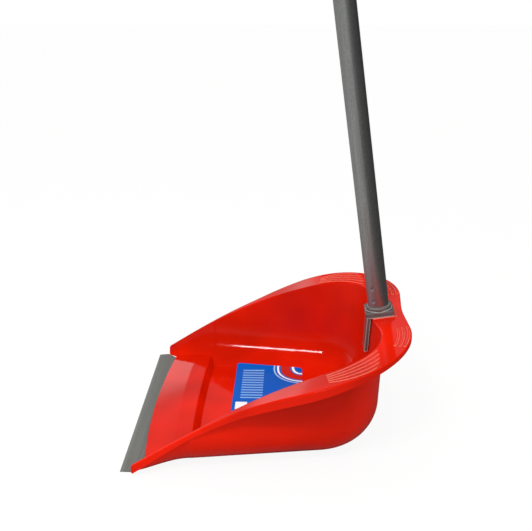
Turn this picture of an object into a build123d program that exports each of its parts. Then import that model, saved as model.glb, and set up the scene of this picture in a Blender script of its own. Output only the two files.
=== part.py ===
"""Long-handled dustpan: a moulded pan with a soft lip, and a handle that clips on its back wall.

Millimetres, +Z up. The mouth faces -Y and the pan is symmetric about X = 0. The origin is on the
floor, midway between the lip's front edge and the back of the rim.
"""
import os
from math import cos, radians, sin, sqrt, tan

from build123d import *

# Pan, overall
pan_depth = 285.0           # lip's front edge to the back of the rim
wall = 2.8
floor_thickness = 2.6
bottom_radius = 46.0        # outside of the tub, wall to floor
draft = 2.5                 # degrees, every tub wall leans out upwards
parting_height = 125.0      # mould parting plane, just above the rim

# Tub outline at the parting plane, inside of the wall
lobe_spacing = 100.0        # centres of the two round back corners
lobe_radius = 66.4
side_taper = 8.4            # degrees, the tub widens towards the mouth
back_dent_angle = 11.0      # degrees, the back wall runs in to a shallow dent at the handle
back_dent_radius = 92.0

# Rim, seen from the side: heights of its top at five places
rim_tip_height = 10.5
rim_front_height = 43.6
rim_middle_height = 86.5
rim_shoulder_height = 111.4
rim_end_height = 122.05
rim_tip_slope = 33.0        # degrees
rim_front_share = 0.226     # where those places are, as shares of the pan's depth from the lip's front edge
rim_middle_share = 0.521
rim_shoulder_share = 0.802
rim_end_share = 1.02        # just behind the flange's edge

# Rim flange and its skirt
flange_width = 29.4         # at the back corners
flange_thickness = 3.0
flange_flare = 9.7          # degrees, the flange widens towards the back
flange_dent_angle = 4.5     # degrees
flange_dent_radius = 180.0
flange_bend_radius = 90.0
flange_lead = 1.4           # beyond the walls at the mouth
tip_narrowing = 0.6         # wall tips, within the walls' outside
tip_lead = 0.9              # flange beyond the wall tips
tip_setback = 12.0          # wall tips stand behind the lip's front edge
skirt_thickness = 2.4
skirt_drops = (9.0, 5.5, 9.5, 7.5, 4.0)     # below the rim's top, at the five places
rim_edge_radius = 1.2

# Ramp behind the lip, and the walls beside it
bow_radius = 1600.0         # the ramp's fold, crest and riser bow forward in the middle, about one centre
front_bow_radius = 943.0    # its front edge bows more
bow_sweep = 40.0            # degrees turned about each, right across the pan
ramp_front_setback = 14.9   # ramp's front edge in the middle, behind the lip's front edge
ramp_edge_thickness = 1.2
fold_setback = 44.8         # the ramp eases here
fold_height = 8.4
fold_radius = 15.0
crest_setback = 62.3        # and ends here
crest_height = 9.5
crest_radius = 3.0          # rounded by a few narrow facets
crest_facets = 4
ramp_thickness = 2.6
hollow_margin = 34.6        # hollow under the ramp, within the walls
riser_run = 7.0             # slope from the crest down to the floor
cheek_step = 0.5            # walls beside the ramp stand this far inside the tub's walls at the crest
throat_flare = 2.0          # and pass this far outside them at the riser
cheek_overrun = 16.0        # walls run on this far above the rim before they are trimmed
cheek_foot_height = 0.4     # walls' lower edge at the mouth
fold_foot_height = 3.7
crest_foot_height = 6.0
tip_floor = 2.6             # where the walls' rounding would reach bottom, under the ramp
mouth_floor = 3.2
fold_floor = 3.0
tip_rounding = 5.0          # wall to floor, shrinking towards the mouth
mouth_rounding = 15.0
fold_rounding = 37.0
crest_rounding = 48.0
tip_radius = 4.0            # wall tips seen from the side

# Lip, a soft strip staked under the ramp's front edge
lip_side_gap = 3.0          # strip's ends to the walls
lip_thickness = 1.7
lip_tail = 34.0             # front edge to the strip's back edge
lip_tail_narrowing = 22.4   # each side, towards the back
lip_feather = 9.0           # the front edge thins over this run
lip_edge_thickness = 0.6
lip_clearance = 0.2
stake_count = 7
stake_diameter = 4.0
stake_margin = 4.0          # last stakes to the corners of the strip's back edge
stake_head_diameter = 7.0
stake_head_thickness = 0.6
stake_clearance = 0.15
stake_reach = 2.7           # up into the ramp
stake_lift = 0.2            # heads stay clear of the floor

# Grip ribs on the flange, placed about the back corners' centres
rib_height = 0.5
side_rib_count = 5
side_rib_width = 1.5
side_rib_angles = (7.5, 27.5, 57.0)     # degrees: start, middle and end of the first rib
side_rib_steps = (0.0, -1.9, -5.0)      # and what each next rib adds
side_rib_insets = (3.6, 2.4, 3.2)       # first rib to the wall's inside, at those places
side_rib_pitches = (3.6, 5.4, 5.4)
lobe_rib_count = 3
lobe_rib_width = 2.0
lobe_rib_angles = (66.0, 80.0, 94.0)
lobe_rib_pitch = 4.9
lobe_rib_margin = 3.2                   # outer rib to the flange's edge

# Label on the floor
label_front = 99.5          # behind the lip's front edge
label_length = 79.0
label_front_half_width = 99.0
label_back_half_width = 87.5
label_corner_radius = 4.0
label_thickness = 0.25
label_glue = 0.03

# Handle
handle_lean = 8.42          # degrees forward, square to the flange at the back
tube_diameter = 22.0
tube_wall = 0.9
tube_length = 735.0
handle_setback = 27.2       # tube axis to the back of the rim, where it meets the seat
seat_rise = 0.4             # flat seat above the flange
seat_margin = 1.6           # seat beyond the bracket's plate
seat_depth = 6.0            # seat block below its face, down into the flange
plate_length = 30.0
plate_width = 28.0
plate_thickness = 6.0
plate_corner = 3.0
plate_edge_radius = 1.4
collar_diameter = 27.2
collar_edge_radius = 0.7
collar_height = 3.8
tube_foot = 2.5             # tube's lower end above the seat
fit_clearance = 0.06        # radial, tube in its collar and on its spigots
spigot_length = 42.0
spigot_bore = 14.0
tongue_width = 24.0
tongue_thickness = 3.6
tongue_length = 41.0
tongue_taper = 1.5          # narrower at its tip, each side
leg_width = 18.0
leg_thickness = 3.0
leg_length = 30.0
clip_clearance = 0.4
dimple_depth = 0.55
dimple_diameter = 5.0
dimple_heights = (7.0, 21.0)    # above the collar
dimple_angle = -28.0            # degrees from +X towards the mouth

# Cap with a hanging eye on the tube's top
cap_diameter = 24.6
cap_length = 16.0
cap_plug_length = 28.0
eye_length = 46.0
eye_thickness = 9.0
eye_hole_diameter = 13.0
eye_edge_radius = 2.2

reach = 2.0 * pan_depth     # long enough to cut right across the pan
same = 0.02                 # two places closer than this are taken as one
front = -pan_depth / 2
back = pan_depth / 2
lobe_x = lobe_spacing / 2
flange_radius = lobe_radius + flange_width
lobe_y = back - flange_radius
tip_y = front + tip_setback
crest_y = front + crest_setback
fold_y = front + fold_setback
riser_y = crest_y + riser_run
ramp_y = front + ramp_front_setback


def tangent_corner(normal_a, normal_b, radius):
    """Where two lines meet that both touch the circle of this radius about a back corner's centre."""
    ax, ay = cos(radians(normal_a)), sin(radians(normal_a))
    bx, by = cos(radians(normal_b)), sin(radians(normal_b))
    reach_a = ax * lobe_x + ay * lobe_y + radius
    reach_b = bx * lobe_x + by * lobe_y + radius
    det = ax * by - ay * bx
    return ((reach_a * by - reach_b * ay) / det, (ax * reach_b - bx * reach_a) / det)


def tangent_x(normal, radius, y):
    """X of a line that touches the circle about a back corner's centre, at a given Y."""
    nx, ny = cos(radians(normal)), sin(radians(normal))
    return (nx * lobe_x + ny * lobe_y + radius - ny * y) / nx


def tub_half_width(y, z):
    """Half the tub's inside width at a Y and a height, above the rounding of its floor."""
    return tangent_x(side_taper, lobe_radius - (parting_height - z) * tan(radians(draft)), y)


def bowed(y, x, radius=bow_radius):
    """Y at a distance X off the middle, on the bowed line that crosses the middle at y."""
    centre = ramp_y + radius
    return centre - sqrt((centre - y) ** 2 - x ** 2)


flank = tangent_x(side_taper, lobe_radius, crest_y)
side_crest_y = bowed(crest_y, flank)
side_riser_y = bowed(riser_y, flank)
throat_floor = floor_thickness - throat_flare
cheek_half_width = tub_half_width(side_crest_y, rim_front_height)
tip_half_width = cheek_half_width + wall - tip_narrowing
flange_front_half_width = cheek_half_width + wall + flange_lead
lip_half_width = cheek_half_width - lip_side_gap
lip_tail_half_width = lip_half_width - lip_tail_narrowing
stake_pitch = 2 * (lip_tail_half_width - stake_margin) / (stake_count - 1)


def tangent_y_on_axis(normal, radius):
    """Y of such a line where it crosses the mid-plane."""
    nx, ny = cos(radians(normal)), sin(radians(normal))
    return (nx * lobe_x + ny * lobe_y + radius) / ny


def outline(points, fillets):
    """Symmetric outline from the points of its +X half, with rounded corners.

    points run from the front to the mid-plane at the back; fillets maps a point's index to a radius.
    """
    mirrored = [(-x, y) for x, y in reversed(points[:-1])]
    ring = Polyline(*points, *mirrored, close=True)
    face = make_face(ring)
    for index, radius in fillets.items():
        x, y = points[index]
        corners = [v for v in face.vertices() if abs(abs(v.X) - x) < same and abs(v.Y - y) < same]
        face = fillet(corners, radius)
    return face


def tub_outline(radius, front_y):
    """Outline of a tub wall whose back corners have this radius."""
    dent = 90 + back_dent_angle
    points = [(tangent_x(side_taper, radius, front_y), front_y)]
    points.append(tangent_corner(side_taper, dent, radius))
    points.append((0.0, tangent_y_on_axis(dent, radius)))
    return outline(points, {1: radius, 2: back_dent_radius + lobe_radius - radius})


def turned(points, rounds=(), radius=bow_radius):
    """Polygon drawn in Y and Z, some corners rounded, turned about a bow's centre right across the pan."""
    face = make_face(Polyline(*points, close=True))
    for index, rounding in rounds:
        y, z = points[index]
        face = fillet([v for v in face.vertices() if abs(v.X - y) < same and abs(v.Y - z) < same], rounding)
    axis = Axis((0, ramp_y + radius, 0), (0, 0, 1))
    return revolve((Plane.YZ * face).rotate(axis, -bow_sweep / 2), axis, revolution_arc=bow_sweep)


def behind(y, radius=bow_radius):
    """Everything behind the bowed line that crosses the middle at y."""
    return turned([(y, -reach), (reach, -reach), (reach, reach), (y, reach)], radius=radius)


def tub_block(inset, base):
    """Solid tub, run on ahead of the mouth: its foot drawn in by the draft and its bottom edge rounded.

    inset is measured into the tub from the inside of its wall.
    """
    height = parting_height - base
    foot_radius = lobe_radius - inset - height * tan(radians(draft))
    start_y = front - bottom_radius
    foot = Pos(0, 0, base) * tub_outline(foot_radius, start_y)
    block = extrude(foot, amount=height, taper=-draft)
    bottom = [e for e in block.edges() if e.bounding_box().max.Z < base + same]
    rounded = [e for e in bottom if e.bounding_box().max.Y > start_y + same]
    return fillet(rounded, bottom_radius - wall - inset)


def flange_outline(inset=0.0):
    """Outline of the rim's flange, or of a line inside its edge."""
    radius = flange_radius - inset
    dent = 90 + flange_dent_angle
    bend_x = flange_front_half_width - inset
    nx, ny = cos(radians(-flange_flare)), sin(radians(-flange_flare))
    bend_y = (nx * lobe_x + ny * lobe_y + radius - nx * bend_x) / ny
    points = [(tip_half_width + tip_lead - inset, tip_y), (bend_x, bend_y)]
    points.append(tangent_corner(-flange_flare, dent, radius))
    points.append((0.0, tangent_y_on_axis(dent, radius)))
    return outline(points, {1: flange_bend_radius, 2: radius, 3: flange_dent_radius})


def rim_points(drops=(0.0, 0.0, 0.0, 0.0, 0.0)):
    """Rim heights seen from the side, lowered by a drop at each of the five places."""
    shares = (tip_setback / pan_depth, rim_front_share, rim_middle_share, rim_shoulder_share, rim_end_share)
    heights = (rim_tip_height, rim_front_height, rim_middle_height, rim_shoulder_height, rim_end_height)
    return [(front + share * pan_depth, z - drop) for share, z, drop in zip(shares, heights, drops)]


def rim_curve(drops=(0.0, 0.0, 0.0, 0.0, 0.0)):
    """Rim line in side view: local X is the pan's Y, local Y is its height."""
    slopes = (rim_tip_slope, handle_lean)
    tangents = [(cos(radians(a)), sin(radians(a))) for a in slopes]
    return Spline(*rim_points(drops), tangents=tangents)


rim_line = rim_curve()


def rim_height(y):
    """Height of the rim's top at a given Y."""
    low, high = 0.0, 1.0
    for _ in range(50):
        middle = (low + high) / 2
        if (rim_line @ middle).X < y:
            low = middle
        else:
            high = middle
    return (rim_line @ low).Y


def side_prism(edges):
    """Closed side view drawn in Y and Z, run right across the pan along X."""
    return extrude(Plane.YZ * make_face(edges), amount=reach, both=True)


def side_polygon(*points):
    """Side prism of a polygon."""
    return side_prism(Polyline(*points, close=True))


def between(upper, lower):
    """Side prism between two curves that start and end above one another."""
    ends = [Line(upper @ 0, lower @ 0), Line(upper @ 1, lower @ 1)]
    return side_prism([upper, lower, *ends])


def above_rim():
    """Everything above the rim."""
    start, end = rim_line @ 0, rim_line @ 1
    top = parting_height + reach
    run = end.X + reach
    rest = Polyline(
        (end.X, end.Y),
        (run, end.Y + reach * tan(radians(handle_lean))),
        (run, top),
        (start.X - reach, top),
        (start.X - reach, start.Y),
        (start.X, start.Y),
    )
    return side_prism([rim_line, rest])


def trough_section(y, half_width, floor, rounding, thickness):
    """Section of the trough between the walls beside the ramp: its sides lean out as the tub's do.

    half_width is measured at the rim; thickness is added all round.
    """
    top = rim_height(max(y, tip_y))
    lean = tan(radians(draft)) / cos(radians(side_taper))
    low, high = floor - thickness, top + cheek_overrun
    foot = half_width + thickness + (low - top) * lean
    head = half_width + thickness + (high - top) * lean
    section = make_face(Polyline((-foot, low), (foot, low), (head, high), (-head, high), close=True))
    section = fillet(section.vertices().group_by(Axis.Y)[0], rounding + thickness)
    return Plane((0, y, 0), x_dir=(1, 0, 0), z_dir=(0, -1, 0)) * section


def trough(thickness):
    """Trough from the wall tips to the crest, and the throat that opens from there into the tub."""
    crest_half = tub_half_width(side_crest_y, rim_height(side_crest_y)) - cheek_step
    riser_half = tub_half_width(side_riser_y, rim_height(side_riser_y)) + throat_flare
    mouth_y, side_fold_y = bowed(ramp_y, flank, front_bow_radius), bowed(fold_y, flank)
    stations = (
        (tip_y - wall, tip_half_width - wall, tip_floor, tip_rounding),
        (mouth_y, cheek_half_width, mouth_floor, mouth_rounding),
        (side_fold_y, cheek_half_width, fold_floor, fold_rounding),
        (side_crest_y, crest_half, throat_floor, crest_rounding),
        (side_riser_y, riser_half, throat_floor, crest_rounding),
    )
    sections = [trough_section(*station, thickness) for station in stations]
    return loft(sections[:-1]), loft(sections[-2:])


def faceted(before, corner, after, radius):
    """Corner of a side view in Y and Z, rounded by narrow facets between two tangent points."""
    here = Vector(*corner)
    back_along, on_along = (Vector(*before) - here).normalized(), (Vector(*after) - here).normalized()
    run = radius / tan(radians(back_along.get_angle(on_along)) / 2)
    start, end = here + back_along * run, here + on_along * run
    arc = TangentArc(start, end, tangent=here - start)
    points = [arc @ (index / crest_facets) for index in range(crest_facets + 1)]
    return [(point.X, point.Y) for point in points]


def above_ramp(start_z, fold_z, crest_z, floor_z, eased=False):
    """Everything above a bowed surface that follows the ramp and its riser, as far as the tub."""
    fold, crest, foot = (fold_y, fold_z), (crest_y, crest_z), (riser_y, floor_z)
    points = [(front - wall, start_z), (ramp_y, start_z), fold]
    points += faceted(fold, crest, foot, crest_radius) if eased else [crest]
    points += [foot, (riser_y, reach), (front - wall, reach)]
    return turned(points, ((2, fold_radius),) if eased else ())


def hull(inset, base, cover):
    """Solid inside one face of the shell: the tub with its throat, and the trough above the ramp."""
    channel, throat = trough(-inset)
    rear = behind(riser_y) + (throat & cover)
    return (tub_block(inset, base) & rear) + (channel & cover)


def shell():
    """Tub, ramp and the walls beside it, and the space inside them."""
    edge_height = lip_thickness + ramp_edge_thickness
    over = above_ramp(edge_height, fold_height, crest_height, floor_thickness, eased=True)
    under = above_ramp(cheek_foot_height, fold_foot_height, crest_foot_height, 0.0)
    space = hull(0.0, floor_thickness, over)
    hollow = turned([
        (front + lip_tail, lip_thickness),
        (fold_y, fold_height - ramp_thickness),
        (crest_y, crest_height - ramp_thickness),
        (crest_y, -wall),
        (front + lip_tail, -wall),
    ])
    seat_half = lip_half_width + lip_clearance
    seat = Box(2 * seat_half, lip_tail + 2 * lip_clearance, 2 * lip_thickness)
    body = hull(-wall, 0.0, under) - space
    body -= hollow & Box(2 * (cheek_half_width - hollow_margin), reach, reach)
    body -= Pos(0, front + lip_tail / 2, 0) * seat
    lowered = Pos(0, 0, lip_thickness - mouth_floor - same) * trough(0.0)[0]
    body -= lowered - behind(ramp_y, front_bow_radius)
    return body, space


def ahead_of_tips():
    """Everything ahead of the rounded wall tips."""
    run = 4 * tip_radius
    corners = [(tip_y, cheek_foot_height), (tip_y + run, cheek_foot_height)]
    corners += [(tip_y + run, rim_tip_height + run * tan(radians(rim_tip_slope))), (tip_y, rim_tip_height)]
    nose = make_face(Polyline(*corners, close=True))
    nose = fillet(nose.vertices().group_by(Axis.X)[0], tip_radius)
    front_half = Pos(0, tip_y + tip_radius - reach / 2, 0) * Box(2 * reach, reach, reach)
    return front_half - extrude(Plane.YZ * nose, amount=reach, both=True)


def rounded_rim(shell):
    """A shell with the edges of its rim's top rounded, save the ends that run across it."""
    chosen = []
    for edge in shell.edges():
        on_top = all(abs(p.Z - rim_height(p.Y)) < same for p in (edge @ 0.1, edge @ 0.5, edge @ 0.9))
        middle, along = edge @ 0.5, edge % 0.5
        end = middle.Y < side_riser_y + wall and abs(along.X) > abs(along.Y)
        seam = abs(middle.X) < same and abs(along.Y) > abs(along.X)
        if on_top and not (end or seam):
            chosen.append(edge)
    return fillet(chosen, rim_edge_radius)


def rim_ring():
    """Flange and its skirt, over the whole outline of the rim."""
    layer = between(rim_curve([-wall] * 5), rim_curve([flange_thickness] * 5))
    flange = extrude(flange_outline(), amount=parting_height) & layer
    ring = flange_outline() - flange_outline(skirt_thickness)
    under_flange = between(rim_curve([flange_thickness / 2] * 5), rim_curve(skirt_drops))
    return flange + (extrude(ring, amount=parting_height) & under_flange)


def arc_band(places, width):
    """Curved strip in plan through three places, each an angle and a radius about a back corner."""
    curves = []
    for shift in (-width / 2, width / 2):
        points = []
        for angle, radius in places:
            across, along = cos(radians(angle)), sin(radians(angle))
            points.append((lobe_x + (radius + shift) * across, lobe_y + (radius + shift) * along))
        curves.append(ThreePointArc(*points))
    ends = [Line(curves[0] @ t, curves[1] @ t) for t in (0, 1)]
    return make_face([*curves, *ends])


def grip_ribs():
    """Raised lines on the flange: a long set fans out round each back corner, a short set lies on it."""
    strips = []
    for index in range(side_rib_count):
        angles = [angle + index * step for angle, step in zip(side_rib_angles, side_rib_steps)]
        insets = [inset + index * pitch for inset, pitch in zip(side_rib_insets, side_rib_pitches)]
        radii = [lobe_radius + inset for inset in insets]
        strips.append(arc_band(list(zip(angles, radii)), side_rib_width))
    for index in range(lobe_rib_count):
        radius = flange_radius - lobe_rib_margin - index * lobe_rib_pitch
        strips.append(arc_band([(angle, radius) for angle in lobe_rib_angles], lobe_rib_width))
    drops = [flange_thickness / 2] * 5
    layer = between(rim_curve([-rib_height] * 5), rim_curve(drops))
    ribs = []
    for strip in strips:
        rib = extrude(strip, amount=parting_height + reach) & layer
        ribs += [rib, mirror(rib, Plane.YZ)]
    return ribs


def seat_plane():
    """Plane of the handle's seat on the flange, square to the tube, with the tube's axis as its normal."""
    y = back - handle_setback
    lean = radians(handle_lean)
    return Plane((0, y, rim_height(y) + seat_rise), x_dir=(1, 0, 0), z_dir=(0, -sin(lean), cos(lean)))


handle_frame = seat_plane()


def dent_y(inset, z):
    """Y of the tub's wall on the mid-plane at a height; inset is measured in from the wall's inside."""
    radius = lobe_radius - inset - (parting_height - z) * tan(radians(draft))
    bend = (back_dent_radius + lobe_radius - radius) * (1 / cos(radians(back_dent_angle)) - 1)
    return tangent_y_on_axis(90 + back_dent_angle, radius) + bend


def leg_section(clearance):
    """Section of the bracket's hidden rear leg, just behind the back wall, in the handle's frame."""
    seat = handle_frame.origin
    face_y = dent_y(-wall, seat.Z) + clip_clearance - seat.Y
    centre = face_y * cos(radians(handle_lean)) + clip_clearance + leg_thickness / 2
    return Pos(0, centre) * Rectangle(leg_width + 2 * clearance, leg_thickness + 2 * clearance)


def make_pan():
    """The whole moulding: tub, ramp, flange, skirt, ribs, handle seat and lip stakes."""
    body, space = shell()
    pan = body + (rim_ring() - space) - above_rim() - ahead_of_tips()
    pan = rounded_rim(pan)
    for rib in grip_ribs():
        pan += rib

    seat = Rectangle(plate_width + 2 * seat_margin, plate_length + 2 * seat_margin)
    pad = extrude(seat, amount=-seat_depth)
    slot = extrude(leg_section(clip_clearance), amount=seat_rise, both=True)
    slot = extrude(leg_section(clip_clearance), amount=-2 * seat_depth) + slot
    room = extrude(seat, amount=plate_thickness)
    pan += (handle_frame.location * pad) - space
    pan -= handle_frame.location * (slot + room)
    for stake in lip_stakes(0.0):
        pan += stake
    return pan


def stake_places():
    """X of each lip stake, evenly spaced about the middle."""
    middle = (stake_count - 1) / 2
    return [(index - middle) * stake_pitch for index in range(stake_count)]


def lip_stakes(extra):
    """Pegs under the ramp that hold the lip, with their melted heads; extra is the room round them."""
    y = front + lip_tail - stake_head_diameter
    shank_radius = stake_diameter / 2 + extra
    head_radius = stake_head_diameter / 2 + extra
    on_end = (Align.CENTER, Align.CENTER, Align.MIN)
    shank = Cylinder(shank_radius, stake_reach, align=on_end)
    head = Cylinder(head_radius, stake_head_thickness + extra, align=on_end)
    peg = Pos(0, 0, stake_lift) * (shank + head)
    return [Pos(x, y, 0) * peg for x in stake_places()]


def make_lip():
    """Soft strip with a feathered front edge and a hole for each stake."""
    top = lip_thickness
    strip = side_polygon(
        (front, 0),
        (front, lip_edge_thickness),
        (front + lip_feather, top),
        (front + lip_tail, top),
        (front + lip_tail, 0),
    )
    outline_points = [(lip_half_width, front), (lip_half_width, tip_y)]
    outline_points += [(lip_tail_half_width, front + lip_tail), (0.0, front + lip_tail)]
    strip &= extrude(outline(outline_points, {}), amount=lip_thickness)
    for stake in lip_stakes(stake_clearance):
        strip -= stake
    return strip


def make_label():
    """Thin label on the floor, its ends lying up the curve of the walls."""
    start = front + label_front
    end = start + label_length
    corners = [(-label_front_half_width, start), (label_front_half_width, start)]
    corners += [(label_back_half_width, end), (-label_back_half_width, end)]
    shape = make_face(Polyline(*corners, close=True))
    shape = fillet(shape.vertices(), label_corner_radius)
    under = tub_block(label_glue, floor_thickness + label_glue)
    over = tub_block(label_glue + label_thickness, floor_thickness + label_glue + label_thickness)
    return (extrude(shape, amount=bottom_radius) & under) - over


def ring_solid(radius, bottom, top):
    """Cylinder on the handle's axis between two heights above its seat, in the handle's frame."""
    return Pos(0, 0, bottom) * Cylinder(radius, top - bottom, align=(Align.CENTER, Align.CENTER, Align.MIN))


def make_bracket():
    """Moulded foot of the handle: plate, collar, spigot, a tongue inside the wall and a leg behind it."""
    tube_radius = tube_diameter / 2
    spigot_radius = tube_radius - tube_wall - fit_clearance
    plate = extrude(RectangleRounded(plate_width, plate_length, plate_corner), amount=plate_thickness)
    plate = fillet(plate.edges().group_by(Axis.Z)[-1], plate_edge_radius)
    collar = ring_solid(collar_diameter / 2, 0, plate_thickness + collar_height)
    collar = fillet(collar.edges().group_by(Axis.Z)[-1], collar_edge_radius)
    socket = ring_solid(tube_radius + fit_clearance, tube_foot, plate_thickness + collar_height)
    spigot = ring_solid(spigot_radius, tube_foot - tube_wall, tube_foot + spigot_length)
    spigot = chamfer(spigot.edges().group_by(Axis.Z)[-1], tube_wall)
    bore = ring_solid(spigot_bore / 2, tube_foot, tube_foot + spigot_length)
    head = (plate + collar) - socket + spigot - bore
    leg = extrude(leg_section(0.0), amount=-leg_length)
    leg = chamfer(leg.edges().group_by(Axis.Z)[0], leg_thickness / 4)
    body = handle_frame.location * (head + leg)

    seat = handle_frame.origin
    tip = seat.Z - tongue_length
    root_y = dent_y(clip_clearance, seat.Z)
    top = seat.Z - (seat.Y - root_y) * tan(radians(handle_lean)) + tube_foot / 2
    tip_face = dent_y(clip_clearance, tip)
    tongue = side_polygon(
        (root_y, top),
        (tip_face, tip),
        (tip_face - tongue_thickness, tip),
        (root_y - tongue_thickness, top),
    )
    half, narrow = tongue_width / 2, tongue_width / 2 - tongue_taper
    front_view = Polyline((-half, top), (half, top), (narrow, tip), (-narrow, tip), close=True)
    tongue &= extrude(Plane.XZ * make_face(front_view), amount=reach, both=True)
    return body + tongue


def make_tube():
    """Handle tube with two crimp dimples on each side, just above the collar."""
    radius = tube_diameter / 2
    tube = ring_solid(radius, tube_foot, tube_foot + tube_length)
    tube -= ring_solid(radius - tube_wall, tube_foot, tube_foot + tube_length)
    ball = (dimple_diameter ** 2 / 4 + dimple_depth ** 2) / (2 * dimple_depth)
    for height in dimple_heights:
        z = plate_thickness + collar_height + height
        for angle in (dimple_angle, dimple_angle + 180):
            tube -= Rot(0, 0, angle) * Pos(radius - dimple_depth + ball, 0, z) * Sphere(ball)
    return handle_frame.location * tube


def make_cap():
    """Plug in the tube's top with a flat hanging eye."""
    top = tube_foot + tube_length
    plug = ring_solid(tube_diameter / 2 - tube_wall - fit_clearance, top - cap_plug_length, top)
    plug = chamfer(plug.edges().group_by(Axis.Z)[0], tube_wall)
    body = ring_solid(cap_diameter / 2, top, top + cap_length)
    body = fillet(body.edges().group_by(Axis.Z)[-1], eye_edge_radius)
    eye = extrude(Plane.XZ * SlotCenterToCenter(eye_length - cap_diameter, cap_diameter, rotation=90),
                  amount=eye_thickness / 2, both=True)
    eye = fillet(eye.edges().filter_by(Plane.XZ), eye_edge_radius)
    eye_centre = top + cap_length
    hole = Rot(90, 0, 0) * Cylinder(eye_hole_diameter / 2, cap_diameter)
    eye = Pos(0, 0, eye_centre) * eye - Pos(0, 0, eye_centre + (eye_length - cap_diameter) / 2) * hole
    eye -= ring_solid(reach, top - reach, top)
    return handle_frame.location * (plug + body + eye)


nodes = {
    "pan": make_pan(),
    "lip": make_lip(),
    "floor_label": make_label(),
    "handle_bracket": make_bracket(),
    "handle_tube": make_tube(),
    "hanging_cap": make_cap(),
}
os.makedirs("parts", exist_ok=True)
for name, solid in nodes.items():
    export_step(solid, f"parts/{name}.step")
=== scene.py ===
"""Looks for a long-handled dustpan: its finishes, rubber lip, printed floor label, studio and camera.

Metres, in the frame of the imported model: +Z is up and the pan's mouth faces -Y.
"""
import logging
from contextlib import contextmanager
from dataclasses import dataclass
from enum import Enum, IntEnum
from math import cos, radians, sin
from typing import Any, Callable, Iterator

import bmesh
import bpy
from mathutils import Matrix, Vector


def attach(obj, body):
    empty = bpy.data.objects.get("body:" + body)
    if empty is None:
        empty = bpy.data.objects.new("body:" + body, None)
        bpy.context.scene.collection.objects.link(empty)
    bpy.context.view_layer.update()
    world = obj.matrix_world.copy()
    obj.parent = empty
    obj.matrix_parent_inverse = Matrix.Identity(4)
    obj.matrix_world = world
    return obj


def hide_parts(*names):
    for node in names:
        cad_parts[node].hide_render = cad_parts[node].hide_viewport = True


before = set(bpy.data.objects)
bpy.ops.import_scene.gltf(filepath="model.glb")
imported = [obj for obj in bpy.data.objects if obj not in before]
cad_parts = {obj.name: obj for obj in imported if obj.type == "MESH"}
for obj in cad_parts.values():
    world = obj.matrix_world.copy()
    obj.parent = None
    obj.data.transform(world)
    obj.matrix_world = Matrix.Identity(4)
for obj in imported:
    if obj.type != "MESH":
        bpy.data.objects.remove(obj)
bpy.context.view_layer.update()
log = logging.getLogger("dustpan")

MM = 0.001
TINY = 0.01 * MM
IMAGE_WIDTH = 532
PAN_BODY = "pan"
WHITE = (1.0, 1.0, 1.0, 1.0)

Piece = bpy.types.Object
Socket = bpy.types.NodeSocket
Tree = bpy.types.NodeTree
Pair = tuple[float, float]
Triple = tuple[float, float, float]


class Part(Enum):
    """What a selection in edit mode is made of."""

    VERTS = "VERT"
    EDGES = "EDGE"


class Kind(Enum):
    """Shader nodes that the finishes and the studio are made of."""

    BACKGROUND = "ShaderNodeBackground"
    BEVEL = "ShaderNodeBevel"
    BUMP = "ShaderNodeBump"
    COMBINE = "ShaderNodeCombineXYZ"
    DIFFUSE = "ShaderNodeBsdfDiffuse"
    EMISSION = "ShaderNodeEmission"
    GEOMETRY = "ShaderNodeNewGeometry"
    LIGHT_PATH = "ShaderNodeLightPath"
    MAPPING = "ShaderNodeMapping"
    MATERIAL = "ShaderNodeOutputMaterial"
    MATH = "ShaderNodeMath"
    MIX = "ShaderNodeMix"
    MIX_SHADERS = "ShaderNodeMixShader"
    NOISE = "ShaderNodeTexNoise"
    PLACE = "ShaderNodeTexCoord"
    RANGE = "ShaderNodeMapRange"
    SPLIT = "ShaderNodeSeparateXYZ"
    VECTOR_MATH = "ShaderNodeVectorMath"
    WORLD = "ShaderNodeOutputWorld"


class Mix(IntEnum):
    """Places of the Mix node's inputs: its share, and a pair each for values, vectors and colours."""

    SHARE = 0
    VALUE_A = 2
    VALUE_B = 3
    VECTOR_A = 4
    VECTOR_B = 5
    COLOUR_A = 6
    COLOUR_B = 7


class Mixed(IntEnum):
    """Places of the Mix node's results."""

    VALUE = 0
    VECTOR = 1
    COLOUR = 2


def linear(hex_code: str) -> tuple[float, float, float, float]:
    """Turn an sRGB hex value into a linear colour.

    Args:
        hex_code: six hex digits.

    Returns:
        Linear red, green, blue and an alpha of 1.
    """
    channels = [int(hex_code[place:place + 2], 16) / 255 for place in (0, 2, 4)]
    return (*[c / 12.92 if c <= 0.04045 else ((c + 0.055) / 1.055) ** 2.4 for c in channels], 1.0)


def per_metre(size_mm: float) -> float:
    """Texture scale that gives a pattern of this size in millimetres."""
    return 1.0 / (size_mm * MM)


def add_node(
    tree: Tree, kind: Kind, feeds: dict[str | int, Any] | None = None, **settings: Any
) -> bpy.types.Node:
    """Add a node with its settings and links.

    Args:
        tree: node tree that gets the node.
        kind: which node it is.
        feeds: input names or places, each with a socket to link or a constant to set.
        settings: properties of the node itself.

    Returns:
        The new node.
    """
    node = tree.nodes.new(kind.value)
    for name, value in settings.items():
        setattr(node, name, value)
    for place, value in (feeds or {}).items():
        if isinstance(value, Socket):
            tree.links.new(value, node.inputs[place])
        else:
            node.inputs[place].default_value = value
    return node


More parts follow.
